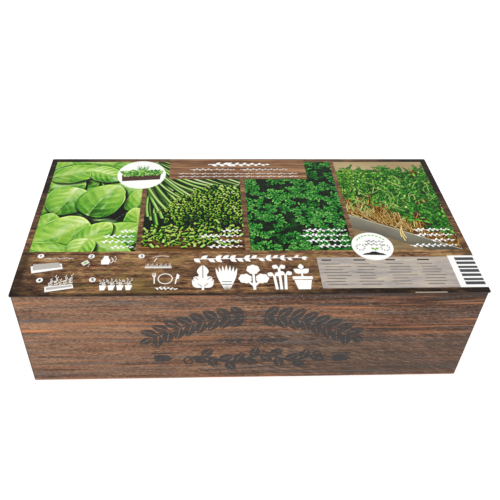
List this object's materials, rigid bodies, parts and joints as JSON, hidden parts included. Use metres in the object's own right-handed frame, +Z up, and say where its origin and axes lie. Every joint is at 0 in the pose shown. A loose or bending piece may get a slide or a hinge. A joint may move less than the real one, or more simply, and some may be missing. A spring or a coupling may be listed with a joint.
{
  "type": "indoor herb planter",
  "caption": "Rectangular stained wooden planter box with a flat printed card lid, holding a moulded growing tray, pressed coir blocks and paper seed packets.",
  "frame": {"origin": "middle of the underside, on the surface that the box stands on", "axes": "+X along the length, to the right seen from the front; -Y is the stamped front; +Z up"},
  "size_m": [0.3016, 0.1516, 0.086],
  "materials": {
    "stained_pine": "sawn and sanded pine boards, dark brown water stain, no varnish",
    "base_plywood": "thin poplar plywood, left raw",
    "brad_steel": "bright drawn flat steel wire brads",
    "tray_plastic": "vacuum-formed recycled polypropylene, satin black",
    "coir": "pressed coconut fibre and pith, dry",
    "packet_paper": "uncoated off-white paper with a plain green print",
    "printed_card": "coated card, printed in full colour, light gloss"
  },
  "bodies": {
    "box": {"front_board": "stained_pine", "back_board": "stained_pine", "left_end_board": "stained_pine", "right_end_board": "stained_pine", "base_panel": "base_plywood", "front_corner_brads": "brad_steel", "back_corner_brads": "brad_steel", "base_brads": "brad_steel"},
    "lid": {"card_lid": "printed_card"},
    "tray": {"growing_tray": "tray_plastic", "basil_coir_block": "coir", "chives_coir_block": "coir", "parsley_coir_block": "coir", "cress_coir_block": "coir"},
    "basil_packet": {"basil_seed_packet": "packet_paper"},
    "chives_packet": {"chives_seed_packet": "packet_paper"},
    "parsley_packet": {"parsley_seed_packet": "packet_paper"},
    "cress_packet": {"cress_seed_packet": "packet_paper"}
  },
  "joints": [
    {"name": "lid_lift", "type": "slide", "parent": "box", "child": "lid", "axis": [0, 0, 1], "range_m": [0, 0.2]},
    {"name": "tray_lift", "type": "slide", "parent": "box", "child": "tray", "axis": [0, 0, 1], "range_m": [0, 0.09]},
    {"name": "basil_packet_lift", "type": "slide", "parent": "tray", "child": "basil_packet", "axis": [0, 0, 1], "range_m": [0, 0.06]},
    {"name": "chives_packet_lift", "type": "slide", "parent": "tray", "child": "chives_packet", "axis": [0, 0, 1], "range_m": [0, 0.06]},
    {"name": "parsley_packet_lift", "type": "slide", "parent": "tray", "child": "parsley_packet", "axis": [0, 0, 1], "range_m": [0, 0.06]},
    {"name": "cress_packet_lift", "type": "slide", "parent": "tray", "child": "cress_packet", "axis": [0, 0, 1], "range_m": [0, 0.06]}
  ],
  "couplings": [
    {"joint": "tray_lift", "follows": "lid_lift", "ratio": 0.45},
    {"joint": "basil_packet_lift", "follows": "lid_lift", "ratio": 0.3},
    {"joint": "chives_packet_lift", "follows": "lid_lift", "ratio": 0.3},
    {"joint": "parsley_packet_lift", "follows": "lid_lift", "ratio": 0.3},
    {"joint": "cress_packet_lift", "follows": "lid_lift", "ratio": 0.3}
  ]
}
